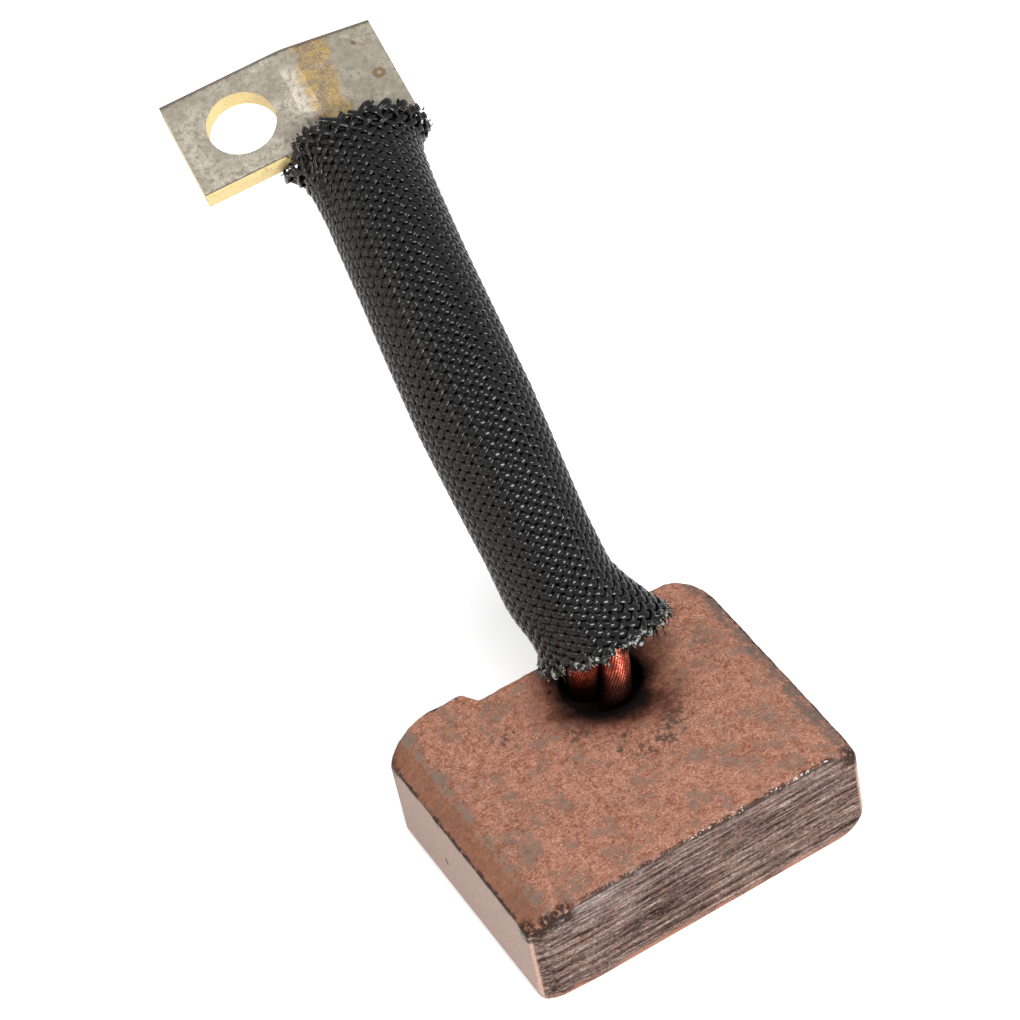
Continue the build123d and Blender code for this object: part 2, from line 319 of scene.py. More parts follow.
rim_line = rim * (1 - noise(stretched(place, 0.3, 1.0, 1.0), 1.6, 4.0).between(0.48, 0.60) * 0.8)
saw_colour = rim_line.tint(saw_colour, (0.42, 0.19, 0.125, 1))

colour = upper.tint(side_colour, upper_colour)
colour = running.tint(colour, saw_colour)
ragged = to_edge + noise(place, 2.2, 4.0) * 0.9 - 0.45
edge_line = (1 - ragged.between(0.02, 0.26)) * noise(place, 0.4, 2.0).between(0.26, 0.50)
colour = (edge_line * 0.9).tint(colour, (0.035, 0.022, 0.018, 1))
in_chip = chipped * (1 - ragged.between(0.45, 0.95)) * noise(place, 3.0, 4.0).between(0.36, 0.52)
colour = (in_chip * 0.95).tint(colour, (0.030, 0.013, 0.009, 1))
glint = front * noise(place, 6.0, 2.0).between(0.59, 0.65) * noise(place, 0.35, 2.0).between(0.42, 0.52)
glint = glint * (1 - chipped)
colour = (glint * (1 - running)).tint(colour, (0.95, 0.90, 0.85, 1))
print("with the sides", len(block_finish.node_tree.nodes), "nodes")

# %% Join the block's finish
height = grain * 0.5 + fine * 0.35 + running * (saw - 0.5) * 3.0 - edge_line * 0.5
shine = upper * 0.22 + running * 0.16 + 0.36
feed(shader, Base_Color=colour, Roughness=shine, Normal=raised(height, 0.06))
print("block finish has", len(block_finish.node_tree.nodes), "nodes")

# %% [markdown]
# ## The block
#
# One skin covers the block: it starts in the socket, climbs out, runs over the upper face, rolls over the worn
# edge, and comes down the sides to the lower face. Each column of the grid follows one point of the outline.
# That gives the edges their small waves and the chipped corner without cutting anything.

# %% Draw the block's outline
half_length, half_depth = 12.5, 10.0
socket_middle, socket_radius, socket_floor = np.array([2.25, 5.2]), 2.75, 2.4
seat_left, seat_right, seat_line = -5.7, 8.3, 8.8
left_lobe = np.array([(-12.5, 8.15), (-11.9, 8.8), (-11.0, 9.3), (-9.5, 9.82), (-7.6, 10.0)])


def corner_arc(middle, radius, start, stop, steps=10):
    """Points on an arc, in degrees."""
    angle = np.radians(np.linspace(start, stop, steps))
    return np.stack([middle[0] + radius * np.cos(angle), middle[1] + radius * np.sin(angle)], -1)


def smooth_curve(knots, steps=40):
    """A curve through the knots: each coordinate is the cubic that fits the length between them."""
    reach = np.concatenate([[0], np.cumsum(np.linalg.norm(np.diff(knots, axis=0), axis=1))])
    wanted = np.linspace(0, reach[-1], steps)
    return np.stack([np.polyval(np.polyfit(reach, knots[:, axis], 4), wanted) for axis in (0, 1)], -1)


outline_knots = np.concatenate([
    corner_arc((-12.35, -9.35), 0.15, 180, 255), [(-11.0, -9.86), (-9.6, -9.93), (-8.5, -10.0)],
    corner_arc((12.15, -9.65), 0.35, 270, 360),
    corner_arc((9.9, 7.4), 2.6, 0, 90), corner_arc((8.75, 9.55), 0.45, 90, 180),
    [(seat_right, seat_line), (seat_left, seat_line)], corner_arc((-6.15, 9.55), 0.45, 0, 90),
    smooth_curve(left_lobe)[::-1],
])
closed_knots = np.concatenate([outline_knots, outline_knots[:1]])
knot_lengths = np.concatenate([[0], np.cumsum(np.linalg.norm(np.diff(closed_knots, axis=0), axis=1))])
column_count = 560
wanted = knot_lengths[-1] * np.arange(column_count) / column_count
outline = np.stack([np.interp(wanted, knot_lengths, closed_knots[:, axis]) for axis in (0, 1)], -1)
print("outline", round(knot_lengths[-1], 1), "mm round")

# %% Shape the block's skin
bevel_width, bevel_drop = 2.3, 0.65
lower_left_radius, lower_right_radius = 0.9, 2.3
inner_box = np.array([10.3, 8.3])
inward = np.clip(outline, -inner_box, inner_box) - outline
inward /= np.linalg.norm(inward, axis=1, keepdims=True)
inner = outline * inner_box / (half_length, half_depth)
from_socket = inner - socket_middle
from_socket /= np.linalg.norm(from_socket, axis=1, keepdims=True)


def upper_height(x, y):
    """8 mm, less the bevels' slope near the left and right sides, less a faint unevenness."""
    slope = np.clip((np.abs(x) - (half_length - bevel_width)) / bevel_width, 0, 1)
    return block_height - bevel_drop * slope - 0.02 * (1 + smooth_noise(x, y, 3, 3.0))


def chip_depth(x, y):
    """Sum over the chips of depth * exp(-distance^2 / reach^2)."""
    return sum(
        depth * np.exp(-((x - chip_x) ** 2 + (y - chip_y) ** 2) / reach**2) for chip_x, chip_y, reach, depth in chips
    )


def edge_wear(x, y):
    """How much of the upper edge has worn off: a little everywhere, and more in a few chips."""
    wear = 0.12 + 0.06 * smooth_noise(x, y, 5, 2.2) + 0.05 * smooth_noise(x, y, 6, 0.7)
    return wear + chip_depth(x, y) * (1 + 0.35 * smooth_noise(x, y, 7, 0.9))


chips = [
    (-11.6, -10.0, 1.1, 0.60), (-9.9, -10.0, 0.9, 0.50), (-12.5, -9.0, 0.6, 0.30), (12.1, -9.9, 0.9, 0.42),
    (-12.4, 8.3, 1.2, 0.25), (-12.5, 2.0, 0.4, 0.15), (3.5, -10.0, 0.3, 0.2), (6.3, -10.0, 0.4, 0.16),
]
wear = edge_wear(outline[:, 0], outline[:, 1])[:, None]
print("upper edge has worn off by", round(float(wear.max()), 2), "mm at most")


def skin_row(flat, high):
    """One row of the skin: its points on plan and its height at each."""
    return np.concatenate([flat, np.broadcast_to(high, flat[:, :1].shape)], 1)


# %% Stack the rows of the skin
rows, kinds = [], []
socket_rim = socket_middle + from_socket * (socket_radius + 0.12)
hole = socket_middle + from_socket * socket_radius
rows += [skin_row(socket_middle + from_socket * reach, socket_floor) for reach in (0.01, 1.4, 2.7)]
rows += [skin_row(hole, high) for high in np.linspace(socket_floor, block_height - 0.16, 6)]
kinds += ["socket"] * len(rows)
for share in np.linspace(0, 1, 24):
    flat = socket_rim + (inner - socket_rim) * share
    rows.append(skin_row(flat, upper_height(flat[:, 0], flat[:, 1])[:, None]))
near_edge = outline + inward * wear
for share in 1 - np.linspace(1, 0, 17)[1:] ** 1.5:
    flat = inner + (near_edge - inner) * share
    rows.append(skin_row(flat, upper_height(flat[:, 0], flat[:, 1])[:, None]))
edge_height = upper_height(outline[:, 0], outline[:, 1])[:, None]
for angle in np.radians([22, 45, 68]):
    flat = outline + inward * wear * (1 - np.sin(angle))
    rows.append(skin_row(flat, edge_height - wear * (1 - np.cos(angle))))
kinds += ["upper"] * (len(rows) - len(kinds))
wall_top = edge_height - wear
for share in np.linspace(0, 1, 76):
    rows.append(skin_row(outline, wall_top * (1 - share)))
kinds += ["side"] * (len(rows) - len(kinds))
for share in (0.4, 1.0):
    rows.append(skin_row(outline + (inner - outline) * share, 0.0))
for share in (0.5, 0.999):
    rows.append(skin_row(inner * (1 - share), 0.0))
kinds += ["lower"] * (len(rows) - len(kinds))
skin = np.stack(rows)
print("skin has", skin.shape[0], "rows of", skin.shape[1], "points")

# %% Saw the running face
score_shares = np.array([0.13, 0.22, 0.35, 0.43, 0.56, 0.66, 0.78, 0.89])
score_heights = score_shares * (block_height - bevel_drop)
score_width, score_depth = 0.34, 0.13
x, y, z = skin[..., 0], skin[..., 1], skin[..., 2]
on_running = (outline[:, 1] < 0.45 - half_depth) & (outline[:, 0] < half_length - 0.25)
is_side = np.array([kind == "side" for kind in kinds])[:, None]
running_mask = is_side & on_running[None, :]
nearest = np.abs(z[..., None] - score_heights).min(-1)
groove = np.clip(1 - nearest / (score_width / 2), 0, 1) * score_depth
groove = groove * (0.65 + 0.35 * smooth_noise(x, z * 3, 8, 6.0))
ripple = 0.012 * (1 + smooth_noise(x * 0.05, z, 9, 0.5))
skin[..., 1] = np.where(running_mask, y + groove + ripple, y)


# %% Say where the black stain with its painted shade and the blots lie
def stain_and_shade_reach(x, y):
    """1 at the rim of the black mark round the socket, a real stain deepened by painted shade, and more outside it.

    The mark is an oval in front of the socket, joined to a ring round the socket.
    """
    along = (x - stain_and_shade_middle[0]) * stain_and_shade_long[0] + (y - stain_and_shade_middle[1]) * stain_and_shade_long[1]
    across = (x - stain_and_shade_middle[0]) * stain_and_shade_short[0] + (y - stain_and_shade_middle[1]) * stain_and_shade_short[1]
    ring = 0.9 + (np.hypot(x - socket_middle[0], y - socket_middle[1]) - socket_radius) * 0.5
    return np.minimum(np.hypot(along / stain_and_shade_half_length, across / stain_and_shade_half_width), ring)


def blots(x, y):
    """Sum over the blots of strength * exp(-distance^2 / reach^2)."""
    return sum(
        strength * np.exp(-((x - blot_x) ** 2 + (y - blot_y) ** 2) / reach**2)
        for blot_x, blot_y, reach, strength in blot_places
    )


stain_and_shade_middle, stain_and_shade_long, stain_and_shade_short = (1.6, 3.2), (0.786, -0.617), (-0.53, -0.85)
stain_and_shade_half_length, stain_and_shade_half_width, outside_stain_and_shade = 2.7, 1.4, 9.0
blot_places = [
    (4.5, -0.3, 1.3, 1.0), (-1.4, 2.0, 1.0, 0.9), (3.0, -2.1, 1.6, 0.6), (-5.5, 4.9, 1.3, 0.6), (0.6, -0.9, 1.8, 0.6),
    (9.2, 3.4, 1.0, 0.5), (-8.5, -2.5, 1.2, 0.45), (5.8, 1.6, 1.2, 0.5),
]


# %% Round the lower edges and make the block
def side_limit(height, radius):
    """How far from the middle a rounded lower edge lets the side stand at a height."""
    short = np.clip(radius - height, 0, radius)
    return half_length - radius + np.sqrt(np.clip(radius**2 - short**2, 0, None))


skin[..., 0] = np.clip(x, -side_limit(z, lower_left_radius), side_limit(z, lower_right_radius))
is_upper = np.array([kind == "upper" for kind in kinds])[:, None]
is_socket = np.array([kind == "socket" for kind in kinds])[:, None]
flat_distance = np.minimum(half_length - np.abs(x), half_depth - np.abs(y))
edge_distance = np.where(is_side, wall_top[:, 0] - z, np.minimum(flat_distance, 9.0))
block = make_piece(
    "block_skin", skin.reshape(-1, 3), grid_faces(len(rows), column_count, True), block_finish,
    running=running_mask, upper=np.broadcast_to(is_upper | is_socket, x.shape), to_edge=edge_distance,
    past_left=bevel_width - half_length - x, past_right=x - half_length + bevel_width,
    # The socket's walls get 0, so they are painted black as shade in the recess.
    stain=np.where(is_upper, stain_and_shade_reach(x, y), np.where(is_socket, 0.0, outside_stain_and_shade)),
    soiled=blots(x, y), scored=np.where(running_mask, groove / score_depth, 0),
    nick=np.exp(-(((y - 1.85) / 0.2) ** 2) - ((z - 3.3) / 0.45) ** 2) * (x < 0),
    front=np.clip(1 - np.abs(y + half_depth - 0.15) / 0.45, 0, 1) * (z > 6.5) * np.clip((x + 4) / 4, 0.3, 1),
    chipped=np.clip(chip_depth(x, y) * 4 - 0.4, 0, 1), rim=running_mask * np.clip(1.6 - z / 0.28, 0, 1),
    rubbed=running_mask * np.clip(
        np.exp(-(((x + 8.8) / 3.2) ** 2) - ((8 - z) / 2.4) ** 2) + 0.6 * np.exp(-(((8 - z) / 0.9) ** 2)), 0, 1
    ),
)
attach(block, "root")
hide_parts("brush_block")

# %% [markdown]
# ## The tamped filling
#
# The powder round the rope's foot sits in deep shade, so its solid needs no new shape, only a finish.

# %% Finish the filling
powder_and_shade_finish, shader, place = start_material("tamped powder", Roughness=0.9, Specular_IOR_Level=0.05)
# Near-black: dark graphite powder, darkened further as painted shade of the socket.
feed(shader, Base_Color=noise(place, 6.0).tint((0.004, 0.003, 0.003, 1), (0.018, 0.010, 0.008, 1)))
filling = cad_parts["tamped_filling"]
filling.data.materials.clear()
filling.data.materials.append(powder_and_shade_finish)

# %% [markdown]
# ## The copper strands
#
# Three strands are laid into a rope, and each strand is a bunch of fine wires. The strand's outline is the
# solid model's: an ellipse turned with the lay, pressed square under the terminal. Small bumps round that
# outline are the wires, and turning the bumps along the strand makes the wires run round it.

# %% Finish the copper
copper_finish, shader, place = start_material("fine copper wire", Metallic=1.0)
wire, sunk = attribute(place, "wire"), attribute(place, "sunk")
tarnish = noise(place, 1.3, 3.0)
# Near-black in the grooves between the wires, as painted shade, and red copper on their crests, where brighter specks
# are painted glints.
copper = wire.between(0.1, 0.9).tint((0.06, 0.006, 0.004, 1), (0.80, 0.15, 0.09, 1))
copper = (noise(place, 6.0, 2.0).between(0.56, 0.64) * wire).tint(copper, (0.95, 0.42, 0.24, 1))
copper = (tarnish.between(0.44, 0.6) * 0.6).tint(copper, (0.07, 0.012, 0.007, 1))
# Near-black low down, where the strands go into the socket: painted shade.
copper = (sunk * 0.92).tint(copper, (0.012, 0.006, 0.005, 1))
feed(shader, Base_Color=copper, Roughness=noise(place, 8.0) * 0.3 + 0.25)
print("copper finish has", len(copper_finish.node_tree.nodes), "nodes")

# %% Lay the strands
rope_radius, middle_share, clearance = 2.4, 0.545, 0.04
lay_length, lay_end_angle = 17.0, np.radians(210.0)
terminal_width, terminal_beyond, terminal_roll = 7.8, 1.0, np.radians(4.2)
pad_width, pad_shift, pad_thickness, pad_margin, press_run = 5.2, 0.35, 2.5, 0.7, 4.0
press_start = shunt_length - (terminal_width - terminal_beyond + pad_margin) - press_run
press_places = (-1, 1, 0)
helix_radius = rope_radius * middle_share
strand_depth = rope_radius - helix_radius - clearance
strand_spread = helix_radius * np.sin(np.pi / 3) - clearance
wires_round, wire_relief, wire_lay = 28, 0.10, 9.0
strand_columns = wires_round * 6


def eased(share):
    """0 to 1 with no corner at either end."""
    share = np.clip(share, 0, 1)
    return share * share * (3 - 2 * share)


def strand_grid(strand, distance):
    """Points of a strand: its outline at each distance, with a bump for each wire of its outer layer.

    The outline's middle follows a helix that straightens in the press run, and its shape goes from an
    ellipse to a rounded square.
    """
    distance = distance[:, None]
    pressed = (distance - press_start) / press_run
    turn = lay_end_angle - 2 * np.pi * np.clip(press_start - distance, 0, None) / lay_length + 2 * np.pi * strand / 3
    spread, settled, square = eased(pressed / 0.6), eased((pressed - 0.45) / 0.55), eased(pressed)
    pitch = pad_width / 3
    middle_x = helix_radius * np.cos(turn) * (1 - spread) + (press_places[strand] * pitch + pad_shift) * spread
    middle_y = helix_radius * np.sin(turn) * (1 - settled)
    angle = 2 * np.pi * np.arange(strand_columns) / strand_columns
    bump = 0.5 - 0.5 * np.cos(wires_round * (angle - 2 * np.pi * distance / wire_lay))
    shrink = 1 - wire_relief * bump
    outward, sideways = strand_depth * np.cos(angle - turn), strand_spread * np.sin(angle - turn)
    round_x = outward * np.cos(turn) - sideways * np.sin(turn)
    round_y = outward * np.sin(turn) + sideways * np.cos(turn)
    flat_x = np.sign(np.cos(angle)) * np.abs(np.cos(angle)) ** 0.3 * (pitch / 2 - clearance)
    flat_y = np.sign(np.sin(angle)) * np.abs(np.sin(angle)) ** 0.3 * pad_thickness / 2
    x = middle_x + (round_x + (flat_x - round_x) * square) * shrink
    y = middle_y + (round_y + (flat_y - round_y) * square) * shrink
    roll = terminal_roll * settled
    point, side, up = along_line(distance[:, 0])
    local_x, local_y = x * np.cos(roll) - y * np.sin(roll), x * np.sin(roll) + y * np.cos(roll)
    return point[:, None] + side[:, None] * local_x[..., None] + up[:, None] * local_y[..., None], 1 - bump


# %% Close the strands and make them
def close_ends(points):
    """Adds a row at each end, drawn in to the middle of that end, so that the tube is shut."""
    first, last = points[:1].mean(1, keepdims=True), points[-1:].mean(1, keepdims=True)
    pinch = 0.02
    return np.concatenate([first + (points[:1] - first) * pinch, points, last + (points[-1:] - last) * pinch])


strand_distances = np.concatenate([
    np.arange(0, 4.5, 0.5), np.arange(4.5, 11, 0.11), np.arange(11, press_start, 0.5),
    np.linspace(press_start, shunt_length, 40),
])
for strand in range(3):
    points, bump = strand_grid(strand, strand_distances)
    points = close_ends(points)
    bump = np.concatenate([bump[:1], bump, bump[-1:]])
    faces = grid_faces(points.shape[0], points.shape[1], True)
    piece = make_piece(
        f"strand_wires_{strand + 1}", points.reshape(-1, 3), faces, copper_finish,
        wire=bump, sunk=np.clip((block_height + 2.4 - points[..., 2]) / 1.8, 0, 1),
    )
    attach(piece, "root")
    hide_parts(f"shunt_strand_{strand + 1}")

# %% [markdown]
# ## The braided sleeve
#
# Forty-four varnished yarns make the tube: half climb one way round and half the other, each going over one and
# under the next. Modelling the yarns one by one gives the row of small bright ovals that a braid shows under a
# lamp, and its edge stays ragged by itself.

# %% Finish the yarn
yarn_finish, shader, place = start_material("varnished yarn", Specular_IOR_Level=0.25)
worn = attribute(place, "worn")
thread = noise(place, 5.0, 3.0)
yarn = thread.between(0.3, 0.7).tint((0.001, 0.001, 0.0015, 1), (0.006, 0.006, 0.006, 1))
dust_and_sheen = noise(place, 0.5, 4.0).between(0.46, 0.66) * noise(place, 4.0, 2.0).between(0.40, 0.64)
# The left side of the tube turns brownish grey: dust, and a painted sheen standing in for the light from the left.
dust_and_sheen = dust_and_sheen * 0.04 + attribute(place, "dusty") * thread.between(0.36, 0.62) * 0.45
yarn = dust_and_sheen.tint(yarn, (0.085, 0.068, 0.056, 1))
pale = (worn * noise(place, 3.0, 2.0).between(0.44, 0.62)).between(0.15, 0.8)
yarn = pale.tint(yarn, (0.42, 0.42, 0.39, 1))
feed(shader, Base_Color=yarn, Roughness=thread * 0.08 + worn * 0.3 + 0.13)
print("yarn finish has", len(yarn_finish.node_tree.nodes), "nodes")

# %% Braid the yarns
sleeve_radius, sleeve_start, sleeve_length = 4.0, 8.0, 37.9
profile = np.array([
    (0.0, 1.23), (0.03, 1.09), (0.07, 1.01), (0.12, 0.965), (0.22, 0.95), (0.33, 0.99), (0.46, 1.035),
    (0.60, 1.02), (0.72, 1.0), (0.88, 1.0), (0.94, 1.03), (0.975, 1.1), (1.0, 1.34),
])
mouth_push, mouth_push_end = np.array([0.28, -0.08]) * sleeve_radius, 0.14
yarns_each_way = 22
crossing_count, steps_a_crossing, yarn_sides = 108, 3, 8
lowest_braid = block_height + 0.06
yarn_width, yarn_thickness, yarn_wave = 0.54, 0.26, 0.10
mouth_start, mouth_squash_below, mouth_squash_above, mouth_widening_left = 0.86, 0.34, 0.12, 0.04
mouth_squash_lower_left, mouth_boxing = 0.25, 0.6
mouth_reach, notch_angle, notch_width, notch_reach = 0.4, np.radians(191), np.radians(16), 1.5


def tube_point(share, angle, depth):
    """A point of the sleeve at a share of its length and an angle round it, a depth under its outer surface.

    The upper mouth is squeezed into an oval, flatter below, where it lies round the flat terminal. Its upper
    left is boxed out over the plate, and a notch leaves room for the plate's edge.
    """
    radius = np.interp(share, profile[:, 0], profile[:, 1]) * sleeve_radius - depth
    push = (1 - eased(share / mouth_push_end))[..., None] * mouth_push
    left = np.clip(-np.cos(angle), 0, 1)
    from_notch = (angle - notch_angle + np.pi) % (2 * np.pi) - np.pi
    reach = mouth_reach - notch_reach * np.exp(-((from_notch / notch_width) ** 2))
    reach = reach * np.clip(share, 0, None) ** 6
    point, side, up = along_line(sleeve_start + share * sleeve_length + reach)
    mouth = eased((share - mouth_start) / (1 - mouth_start))
    squash = np.where(
        np.sin(angle) > 0, mouth_squash_below + mouth_squash_lower_left * left, mouth_squash_above
    )
    boxed = 1 - mouth_boxing * mouth * left
    high = np.where(np.sin(angle) < 0, -np.abs(np.sin(angle)) ** boxed, np.sin(angle))
    local_x = push[..., 0] + radius * np.cos(angle) * (1 + mouth_widening_left * left * mouth)
    local_y = push[..., 1] + radius * high * (1 - squash * mouth)
    return point + side * local_x[..., None] + up * local_y[..., None]


# %% Draw the yarns of one hand
def flattened(wave, power):
    """A sine or cosine raised to a power below 1, with its sign kept, which squares up the oval that it draws."""
    return np.sign(wave) * np.abs(wave) ** power


def yarn_grids(hand):
    """Points of all the yarns of one hand: an oval carried along a helix that rises and dips at each crossing."""
    steps = crossing_count * steps_a_crossing + 1
    steps_each = np.arange(steps)[None, :] - rng.integers(-1, 2, (yarns_each_way, 1))
    crossing = (steps_each + 0.5) / steps_a_crossing
    share = crossing / crossing_count
    angle = np.pi / yarns_each_way * (2 * np.arange(yarns_each_way)[:, None] + hand * crossing)
    depth = yarn_thickness - hand * yarn_wave * np.cos(np.pi * crossing)
    middle = tube_point(share, angle, depth)
    inside = tube_point(share, angle, depth + 1.0)
    heading = np.gradient(middle, axis=1)
    heading /= np.linalg.norm(heading, axis=-1, keepdims=True)
    outward = middle - inside
    outward -= heading * (outward * heading).sum(-1, keepdims=True)
    outward /= np.linalg.norm(outward, axis=-1, keepdims=True)
    across = np.cross(heading, outward)
    round_angle = 2 * np.pi * (np.arange(yarn_sides) + 0.5) / yarn_sides
    half_width = yarn_width / 2 * (1 + 0.08 * rng.standard_normal((yarns_each_way, 1, 1, 1)))
    half_width = half_width * (1 + 0.16 * hand * np.cos(np.pi * crossing))[:, :, None, None]
    points = (
        middle[:, :, None]
        + across[:, :, None] * half_width * np.cos(round_angle)[:, None]
        + outward[:, :, None] * yarn_thickness / 2 * flattened(np.sin(round_angle), 0.75)[:, None]
    )
    # Brownish on the left side of the tube: dust and painted sheen.
    dusty = np.clip(-np.cos(angle) * 1.3 - 0.45, 0, 1)
    return points, share, dusty


# %% Make both hands of yarn
for hand, name in ((1, "yarns_up_right"), (-1, "yarns_up_left")):
    points, share, dusty = yarn_grids(hand)
    points[..., 2] = np.maximum(points[..., 2], lowest_braid)
    yarn_rows = points.shape[1]
    one = grid_faces(yarn_rows, yarn_sides, True)
    faces = (one[None] + np.arange(yarns_each_way)[:, None, None] * yarn_rows * yarn_sides).reshape(-1, 4)
    worn_ends = np.clip(1 - share * sleeve_length / 0.7, 0, 1)
    piece = make_piece(
        name, points.reshape(-1, 3), faces, yarn_finish,
        worn=np.repeat(worn_ends, yarn_sides), dusty=np.repeat(dusty, yarn_sides),
    )
    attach(piece, "root")
    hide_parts("sleeve")

# %% [markdown]
# A dark lining behind the yarns stops light from coming through the gaps between them, as the yarns' own
# undersides do on the real sleeve.

# %% Line the sleeve
lining_share = np.linspace(0.006, 0.994, 90)[:, None]
lining_columns = 72
lining_angle = np.linspace(0, 2 * np.pi, lining_columns, endpoint=False)[None, :]
outer = tube_point(lining_share + 0 * lining_angle, lining_angle + 0 * lining_share, 0.45)
inner_wall = tube_point(lining_share + 0 * lining_angle, lining_angle + 0 * lining_share, 0.6)[::-1]
lining_points = np.concatenate([outer, inner_wall, outer[:1]])
lining_points[..., 2] = np.maximum(lining_points[..., 2], lowest_braid)
lining = make_piece(
    "sleeve_lining", lining_points.reshape(-1, 3), grid_faces(len(lining_points), lining_columns, True),
    yarn_finish, worn=np.zeros(lining_points.shape[:2]),
)
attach(lining, "root")
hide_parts("sleeve")

# %% [markdown]
# Cutting the braid leaves its fibres loose. They are fine three-sided threads that start on the rim, follow the
# yarns and bend outwards. Wear has bleached the ones that rub on the block.

# %% Fray the two rims
fibre_taper = np.array([0.02, 1, 1, 0.9, 0.7, 0.02])
fibre_rows, fibre_sides = len(fibre_taper), 3
fibre_points = fibre_rows * fibre_sides


def fray(name, rim_share, toward, count, longest, bleached):
    """Loose fibres at one end: toward is -1 when they point to the block and 1 when they point away from it."""
    step = np.linspace(0, 1, fibre_rows)[None, :]
    start = rim_share - toward * rng.uniform(0.0, 0.02, (count, 1))
    length = longest * rng.uniform(0.3, 1.0, (count, 1)) ** 1.5 / sleeve_length
    share = start + toward * length * step
    lean = rng.uniform(-1.0, 1.0, (count, 1)) * length * sleeve_length / sleeve_radius
    angle = rng.uniform(0, 2 * np.pi, (count, 1)) + lean * step
    depth = rng.uniform(0.0, 0.4, (count, 1)) - rng.uniform(-0.2, 0.25, (count, 1)) * step**2
    middle = tube_point(share, angle, depth)
    side = np.cross(np.gradient(middle, axis=1), rng.standard_normal((count, 1, 3)))
    side /= np.linalg.norm(side, axis=-1, keepdims=True)
    heading = np.gradient(middle, axis=1)
    heading /= np.linalg.norm(heading, axis=-1, keepdims=True)
    other = np.cross(heading, side)
    thickness = rng.uniform(0.03, 0.075, (count, 1, 1, 1)) * fibre_taper[:, None, None]
    turn = 2 * np.pi * np.arange(fibre_sides)[:, None] / fibre_sides
    points = middle[:, :, None] + thickness * (side[:, :, None] * np.cos(turn) + other[:, :, None] * np.sin(turn))
    points[..., 2] = np.maximum(points[..., 2], lowest_braid)
    one = grid_faces(fibre_rows, fibre_sides, True)
    faces = (one[None] + np.arange(count)[:, None, None] * fibre_points).reshape(-1, 4)
    worn = np.repeat((rng.uniform(0, 1, count) < bleached) * rng.uniform(0.3, 1.0, count), fibre_points)
    piece = make_piece(name, points.reshape(-1, 3), faces, yarn_finish, worn=worn)
    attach(piece, "root")
    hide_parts("sleeve")


fray("frayed_foot", 0.0, -1, 600, 0.5, 0.8)
fray("frayed_mouth", 1.0, 1, 320, 0.3, 0.3)

# %% [markdown]
# ## The terminal
#
# The plate is punched from tinned brass, so its flat faces are grey and its cut edges are yellow. The solid
# model's own shape is right. A copy of it joins small triangles into larger faces, and each face's corners get
# numbers that tell the flat faces from the cut edges and say how far along and across the plate they lie.

# %% Finish the tinned brass
terminal_finish, shader, place = start_material("tinned brass", Metallic=0.25, Roughness=0.55)
cut, run, across = (attribute(place, name) for name in ("cut_edge", "along", "across"))
mottle = noise(place, 2.2, 5.0, 0.7)
speck = noise(place, 9.0, 3.0)
patch = noise(place, 0.55, 4.0)
tin = (mottle + speck * 0.6).between(0.60, 1.0).tint((0.23, 0.205, 0.16, 1), (0.60, 0.545, 0.445, 1))
tin = (patch.between(0.46, 0.60) * 0.45).tint(tin, (0.27, 0.245, 0.195, 1))
tin = (run.between(6.5, 8.5) * 0.35).tint(tin, (0.22, 0.20, 0.145, 1))
tin = ((speck + patch * 0.5).between(0.80, 0.92) * 0.6).tint(tin, (0.20, 0.15, 0.10, 1))
wander = noise(place, 0.6, 3.0) * 1.8 - 0.9
band_middle = run + wander - across * 0.12 - 6.1
band = 1 - band_middle.math("ABSOLUTE", band_middle).between(0.8, 1.5)
scorch = band * noise(place, 1.2, 6.0, 0.75).between(0.30, 0.46)
scorch_colour = noise(place, 1.1, 5.0).between(0.42, 0.58).tint((0.27, 0.19, 0.105, 1), (0.46, 0.30, 0.085, 1))
scorch_colour = (speck.between(0.53, 0.64) * 0.75).tint(scorch_colour, (0.10, 0.055, 0.025, 1))
scorch_colour = ((1 - speck.between(0.36, 0.44)) * 0.6).tint(scorch_colour, (0.60, 0.50, 0.34, 1))
tin = (scorch * 0.85).tint(tin, scorch_colour)
for spot_run, spot_across, spot_size, ring in ((9.3, 2.5, 0.24, 0.0), (9.9, -0.4, 0.20, 0.30)):
    off_run, off_across = run - spot_run, across - spot_across
    spot = off_run * off_run + off_across * off_across
    spot = spot.math("SQRT", spot) + (speck - 0.5) * 0.5 - ring
    spot = 1 - spot.math("ABSOLUTE", spot).between(spot_size * 0.5, spot_size)
    tin = (spot * 0.8).tint(tin, (0.17, 0.09, 0.035, 1))
back_line = (across + noise(place, 3.0, 3.0) * 0.4).between(3.82, 3.92)
front_line = 1 - (across - noise(place, 3.0, 3.0) * 0.3).between(-3.98, -3.88)
tin = ((back_line + front_line) * 0.8).tint(tin, (0.10, 0.08, 0.06, 1))
brass = speck.between(0.3, 0.6).tint((0.74, 0.52, 0.19, 1), (1.0, 0.82, 0.42, 1))
brass = ((speck + patch * 0.4).between(0.76, 0.86) * 0.7).tint(brass, (0.22, 0.12, 0.04, 1))
feed(shader, Base_Color=cut.tint(tin, brass), Normal=raised(mottle * 0.5 + speck * 0.5, 0.03))
print("tinned brass finish has", len(terminal_finish.node_tree.nodes), "nodes")

# %% Copy the plate and number its corners
import bmesh

